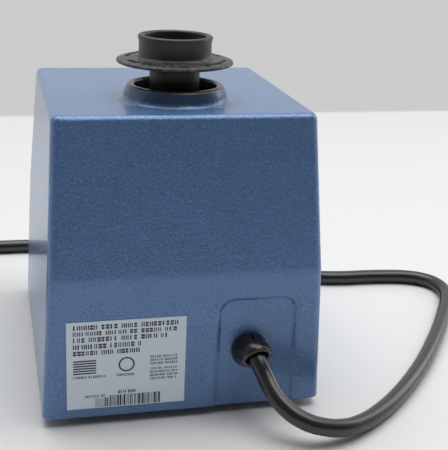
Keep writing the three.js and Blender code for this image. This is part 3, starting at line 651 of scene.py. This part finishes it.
def make_housing():
    rings = [section(BASE_Z, 0.5), section(BASE_Z + 0.15, 0.2), section(BASE_Z + 0.6, 0)]
    rings += housing_levels(0)
    for step in range(7):
        angle = math.radians(15 * step)
        inset = TOP_ROUND * (1 - math.cos(angle))
        rings.append(section(TOP_Z - TOP_ROUND + TOP_ROUND * math.sin(angle), inset))
    shell = to_object("housing_shell", loft(rings), "base", "paint")
    hollow = [section(BASE_Z - 3, WALL)] + housing_levels(WALL) + [section(TOP_Z - WALL, WALL + 0.5)]
    combine(shell, loft(hollow), "DIFFERENCE")
    deck_hole = [(0, TOP_Z - WALL - 2), (20, TOP_Z - WALL - 2), (20, TOP_Z + 2), (0, TOP_Z + 2)]
    combine(shell, lathe(deck_hole, (0, AXIS_Y, 0), 64), "DIFFERENCE")
    combine(shell, lathe(collar_profile(), (0, AXIS_Y, 0), 128), "UNION")
    combine(shell, panel_cutter(), "DIFFERENCE")
    hole = [(0, 50), (GLAND_HOLE, 50), (GLAND_HOLE, 90), (0, 90)]
    combine(shell, lathe(hole, (GLAND_X, 0, GLAND_Z), 40, "Y"), "DIFFERENCE")
    reshade(shell, 38)
    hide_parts("housing")


make_housing()


# ---- Mixing cup and drive head ----
def arc(cx, cy, radius, start, end, steps=5):
    turns = (math.radians(start + (end - start) * i / steps) for i in range(steps + 1))
    return [(cx + radius * math.cos(t), cy + radius * math.sin(t)) for t in turns]


def make_cup():
    profile = [(0, 146.2), (8.88, 146.2), (8.88, 126.6)]
    profile += arc(10.1, 127.2, 0.6, -90, 0, 3)
    profile += [(10.7, 143.6)] + arc(13.0, 143.9, 2.3, 180, 110, 5)
    profile += [(16, 147.0)] + arc(24.2, 147.85, 0.7, -80, 80, 6)
    profile += [(22.5, 148.75), (17.8, 149.3)]
    profile += arc(17.4, 151.1, 1.8, 265, 185, 5)
    profile += [(15.4, 153), (15.45, 156), (15.75, 157.3)] + arc(14.9, 157.8, 1.0, 0, 90, 5)
    profile += arc(14.1, 157.8, 1.0, 90, 180, 4)
    profile += [(13.05, 155), (12.7, 151.2)] + arc(11.2, 151.1, 1.5, 0, -90, 4) + [(5, 149.6), (0, 149.6)]
    cup = to_object("rubber_cup", lathe(profile, (0, HEAD_Y, 0), 128), "cup", "cup_rubber", sharp=40)
    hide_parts("mixing_cup")


def make_flange_marks():
    """Small raised bars moulded round the top of the flange, in two groups: they stand for no letters."""
    rng = random.Random(4)
    bm = bmesh.new()
    for start, end in ((15, 165), (195, 345)):
        angle = start
        while angle < end:
            width = rng.choice((0.5, 0.5, 0.9, 1.3))
            tall = rng.choice((1.7, 1.7, 2.1))
            turn = math.radians(angle)
            outward = Vector((math.cos(turn), math.sin(turn), 0))
            across = Vector((-math.sin(turn), math.cos(turn), 0))
            foot = Vector((0, HEAD_Y, 0)) + outward * 20.6
            rings = []
            for z, shrink in ((148.6, 0), (149.22, 0), (149.32, 0.12)):
                u, v = width / 2 - shrink, tall / 2 - shrink
                level = foot + Vector((0, 0, z))
                signs = ((-1, -1), (1, -1), (1, 1), (-1, 1))
                rings.append([level + across * (a * u) + outward * (b * v) for a, b in signs])
            loft(rings, bm)
            angle += rng.choice((4.5, 5, 6, 9))
    to_object("flange_marks", bm, "cup", "cup_rubber", sharp=30)


def make_drive_head():
    profile = [(0, 138.4), (6, 138.4), (6, 134.7), (7.5, 134.7), (7.5, 121.6), (8.8, 121.6)]
    profile += [(8.8, 124.6), (10.1, 124.6), (10.3, 124.8), (10.3, 126.0), (10.1, 126.2)]
    profile += [(8.8, 126.2), (8.8, 145)]
    profile += arc(7.8, 145.0, 1.0, 0, 90, 4) + [(0, 146)]
    head = to_object("head_boss", lathe(profile, (0, HEAD_Y, 0), 96), "head", "cast_aluminium")
    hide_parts("drive_head")
    disc = [(9, 121.9), (22.4, 121.9), (22.9, 122.2), (23, 122.6)]
    disc += [(22.8, 123.1), (22.3, 123.4), (10.6, 124.3), (9, 124.3)]
    turned = lathe(disc, (0, HEAD_Y, 0), 128)
    splash = to_object("splash_guard", turned, "head", "cup_rubber", "foot_rubber")
    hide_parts("splash_disc")


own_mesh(frame["nodes"]["return_spring"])
make_cup()
make_flange_marks()
make_drive_head()


# ---- Strain relief ----
def ring_round(centre, axis, radius, count=64):
    """A circle of points square to the axis."""
    side = Vector((1, 0, 0)) - axis * axis.x
    side.normalize()
    up = side.cross(axis)
    ring = []
    for i in range(count):
        angle = 2 * math.pi * i / count
        ring.append(centre + side * (radius * math.cos(angle)) + up * (radius * math.sin(angle)))
    return ring


def make_strain_relief():
    """A round hood on the panel. Its mouth faces out and down, with a flat rim round the bore."""
    face = REAR["base"] - PANEL["depth"] + REAR_LEAN * (GLAND_Z - BASE_Z)
    root = Vector((GLAND_X, face, GLAND_Z))
    out = Vector((0, 1, 0))
    rings = [ring_round(root + out * (-9.5), out, 4.4), ring_round(root + out * (-9), out, 5.2)]
    rings += [ring_round(root + out * 0.25, out, 5.3), ring_round(root + out * 0.3, out, 7.7)]
    rings += [ring_round(root + out * 0.6, out, 8.0), ring_round(root + out * 1.5, out, 8.1)]
    start, end = root + out * 1.7, MOUTH - MOUTH_DIRECTION * 0.9
    a, b = start + out * 2.2, end - MOUTH_DIRECTION * 1.6
    steps = 10
    for step in range(steps + 1):
        t = step / steps
        centre = start * (1 - t) ** 3 + a * (3 * t * (1 - t) ** 2) + b * (3 * t * t * (1 - t)) + end * t**3
        axis = (out * (1 - t) + MOUTH_DIRECTION * t).normalized()
        rings.append(ring_round(centre, axis, 8.0 - 0.9 * t))
    mouth = [(-0.4, 6.95), (-0.1, 6.7), (0.0, 6.4), (-0.1, 5.5)]
    mouth += [(-0.45, 5.1), (-1.2, 4.95), (-3.5, 4.6), (-5.5, 4.2)]
    for shift, radius in mouth:
        rings.append(ring_round(MOUTH + MOUTH_DIRECTION * shift, MOUTH_DIRECTION, radius))
    relief = to_object("cord_bushing", loft(rings), "base", "black_plastic", "hood", sharp=32)
    low, high = (GLAND_X - 0.5, face + 2.6, GLAND_Z + 6.8), (GLAND_X + 0.5, face + 14, GLAND_Z + 12)
    combine(relief, box_into(bmesh.new(), low, high), "DIFFERENCE")
    reshade(relief, 32, weighted=False)
    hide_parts("strain_relief")


make_strain_relief()


# ---- Rating label ----
def on_label(u, v):
    """A place on the label: u from its left, v down from its top, as seen from behind."""
    z = LABEL["top"] - v
    return (LABEL["left"] - u, REAR["base"] + LABEL["proud"] + REAR_LEAN * (z - BASE_Z), z)


def printed(bm, u0, v0, u1, v1):
    """One raised bar of ink."""
    corners = [on_label(u, v) for u, v in ((u0, v0), (u1, v0), (u1, v1), (u0, v1))]
    raised = [(x, y + INK, z) for x, y, z in corners]
    loft([corners, raised], bm)


def printed_row(bm, rng, u0, u1, v0, v1, step, gap):
    """A row of plain marks in word-like groups, which stands for a line of text without any letter."""
    u, left_in_word, middle = u0, rng.randint(3, 9), (v0 + v1) / 2
    while u + step <= u1:
        width = step * rng.choice((0.66, 0.76, 0.84))
        kind = rng.random()
        if kind < 0.5:
            printed(bm, u, v0, u + width * 0.32, v1)
            printed(bm, u + width * 0.64, v0, u + width, v1)
        elif kind < 0.8:
            printed(bm, u, v0, u + width, middle - 0.14)
            printed(bm, u, middle + 0.14, u + width, v1)
        else:
            printed(bm, u + width * 0.1, v0, u + width * 0.55, v1)
        u += step
        left_in_word -= 1
        if left_in_word == 0:
            u += step * gap
            left_in_word = rng.randint(2, 9)


def make_print():
    rng = random.Random(11)
    bm = bmesh.new()
    large_rows = [(1.5, 3.5, 47.4), (4.4, 6.2, 47.2), (7.1, 9.1, 42.9), (10.2, 12.3, 32.6)]
    large_rows.append((13.2, 15.2, 32.4))
    for v0, v1, end in large_rows:
        printed_row(bm, rng, 2.7, end, v0, v1, 1.75, 0.7)
    for stripe in range(6):
        v = 17.6 + stripe * 1.15
        printed(bm, 2.7, v, 12.2, v + 0.6)
    printed_row(bm, rng, 2.7, 16.2, 24.9, 26.0, 0.95, 0.6)
    printed_row(bm, rng, 20.8, 29.0, 24.9, 26.0, 0.95, 0.6)
    for row in (17.4, 19.0, 20.6, 23.0, 24.6, 26.2, 27.8):
        printed_row(bm, rng, 34.9, 47.2, row, row + 0.95, 0.95, 0.6)
    printed_row(bm, rng, 7.6, 17.0, 34.2, 35.3, 1.0, 0.6)
    printed_row(bm, rng, 21.4, 29.8, 32.8, 34.2, 1.15, 0.6)
    u = 12.0
    while u < 39.4:
        width = rng.choice((0.25, 0.25, 0.5, 0.75))
        printed(bm, u, 34.9 if u > 17.4 else 35.8, u + width, 40.1)
        u += width + rng.choice((0.3, 0.45, 0.6))
    to_object("label_print", bm, "base", "label", "print", sharp=10)


def make_printed_ring(u, v, inner, outer, count=40):
    loops = []
    for radius, lift in ((inner, 0), (inner, INK), (outer, INK), (outer, 0), (inner, 0)):
        loop = []
        for i in range(count):
            angle = 2 * math.pi * i / count
            x, y, z = on_label(u + radius * math.cos(angle), v + radius * math.sin(angle))
            loop.append((x, y + lift, z))
        loops.append(loop)
    to_object("label_ring", loft(loops, close=False), "base", "label", "print")


make_print()
make_printed_ring(24.9, 20.6, 2.75, 3.4)


# ---- Underside ----
def make_feet_and_screws():
    foot = [(0, 0), (6.6, 0)] + arc(6.8, 1.2, 1.2, -80, 0, 4) + [(7.3, 3.7), (7.1, 4.0), (2.5, 4.0)]
    foot += [(2.5, 6.1), (3.6, 6.1), (3.4, 7.2), (2.2, 8.8), (0, 8.8)]
    screw = [(0, 1.9), (1.6, 1.9), (2.6, 2.2), (3.2, 2.8), (3.4, 3.5)]
    screw += [(3.4, 4.0), (1.9, 4.0), (1.9, 19), (1, 20), (0, 20)]
    number = 0
    for side in (-1, 1):
        for foot_y, post_y in zip(FOOT_Y, POST_Y):
            number += 1
            place = (side * FOOT_X, foot_y, 0)
            piece = to_object(f"rubber_foot_{number}", lathe(foot, place, 64), "base", "foot_rubber")
            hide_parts(f"foot_{number}")
            x, y = side * POST_X, post_y
            piece = to_object(f"panhead_screw_{number}", lathe(screw, (x, y, 0), 48), "base", "steel")
            for u, v in ((1.9, 0.35), (0.35, 1.9)):
                slot = box_into(bmesh.new(), (x - u, y - v, 1), (x + u, y + v, 3.1))
                combine(piece, slot, "DIFFERENCE")
            reshade(piece, 35, weighted=False)
            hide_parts(f"base_screw_{number}")


make_feet_and_screws()


# ---- Stage and light ----
def make_floor():
    """A pale square that fades out at its edge into the room's grey."""
    bm = bmesh.new()
    corners = [bm.verts.new((x, y, -0.0001)) for x, y in ((-6, -6), (6, -6), (6, 6), (-6, 6))]
    bm.faces.new(corners)
    mesh = bpy.data.meshes.new("floor")
    bm.to_mesh(mesh)
    bm.free()
    floor = bpy.data.objects.new("floor", mesh)
    scene.collection.objects.link(floor)
    f = Finish("floor", (0.78, 0.78, 0.775), 0.6, 0.0, 0.2)
    f.bump(f.noise(260, 2), 0.0004, 0.25)
    across, along = (f.math("ABSOLUTE", f.along(axis), 0.0) for axis in "XY")
    reach = f.math("MAXIMUM", across, along)
    clear = f.nodes.new("ShaderNodeBsdfTransparent")
    fade = f.nodes.new("ShaderNodeMixShader")
    f.links.new(f.span(reach, *FLOOR_EDGE), fade.inputs["Fac"])
    f.links.new(f.shader.outputs["BSDF"], fade.inputs[1])
    f.links.new(clear.outputs["BSDF"], fade.inputs[2])
    f.links.new(fade.outputs["Shader"], f.nodes["Material Output"].inputs["Surface"])
    mesh.materials.append(f.material)


def make_world():
    """A pale room that is dim on the rear side. A camera sees it as one even grey."""
    world = bpy.data.worlds.new("world")
    scene.world = world
    world.use_nodes = True
    nodes, links = world.node_tree.nodes, world.node_tree.links
    seen = nodes["Background"]
    seen.inputs["Color"].default_value = (0.6, 0.6, 0.6, 1)
    lit = nodes.new("ShaderNodeBackground")
    coordinates = nodes.new("ShaderNodeTexCoord")
    split = nodes.new("ShaderNodeSeparateXYZ")
    links.new(coordinates.outputs["Generated"], split.inputs["Vector"])
    dim = nodes.new("ShaderNodeMath")
    dim.operation = "MULTIPLY"
    for socket, axis, low, high in ((0, "Y", -0.3, 0.5), (1, "Z", -0.2, 0.02)):
        span = nodes.new("ShaderNodeMapRange")
        span.interpolation_type = "SMOOTHSTEP"
        span.inputs["From Min"].default_value = low
        span.inputs["From Max"].default_value = high
        links.new(split.outputs[axis], span.inputs["Value"])
        links.new(span.outputs["Result"], dim.inputs[socket])
    tone = nodes.new("ShaderNodeMix")
    tone.data_type = "RGBA"
    tone.inputs[6].default_value = (0.7, 0.7, 0.7, 1)
    tone.inputs[7].default_value = (0.075, 0.075, 0.08, 1)
    links.new(dim.outputs["Value"], tone.inputs["Factor"])
    links.new(tone.outputs[2], lit.inputs["Color"])
    ray = nodes.new("ShaderNodeLightPath")
    choose = nodes.new("ShaderNodeMixShader")
    links.new(ray.outputs["Is Camera Ray"], choose.inputs["Fac"])
    links.new(lit.outputs["Background"], choose.inputs[1])
    links.new(seen.outputs["Background"], choose.inputs[2])
    links.new(choose.outputs["Shader"], nodes["World Output"].inputs["Surface"])


def area_light(name, place, aim, size, power):
    data = bpy.data.lights.new(name, "AREA")
    data.shape = "RECTANGLE"
    data.size, data.size_y = size
    data.energy = power
    light = bpy.data.objects.new(name, data)
    scene.collection.objects.link(light)
    light.location = place
    light.rotation_mode = "QUATERNION"
    light.rotation_quaternion = (Vector(aim) - Vector(place)).to_track_quat("-Z", "Y")


make_floor()
make_world()
area_light("overhead", (-0.1, -0.06, 1.3), (0, 0.05, 0), (1.8, 1.0), 15.5)
area_light("window", (-1.1, -0.35, 0.55), (-0.1, 0, 0.02), (0.5, 0.8), 2.2)
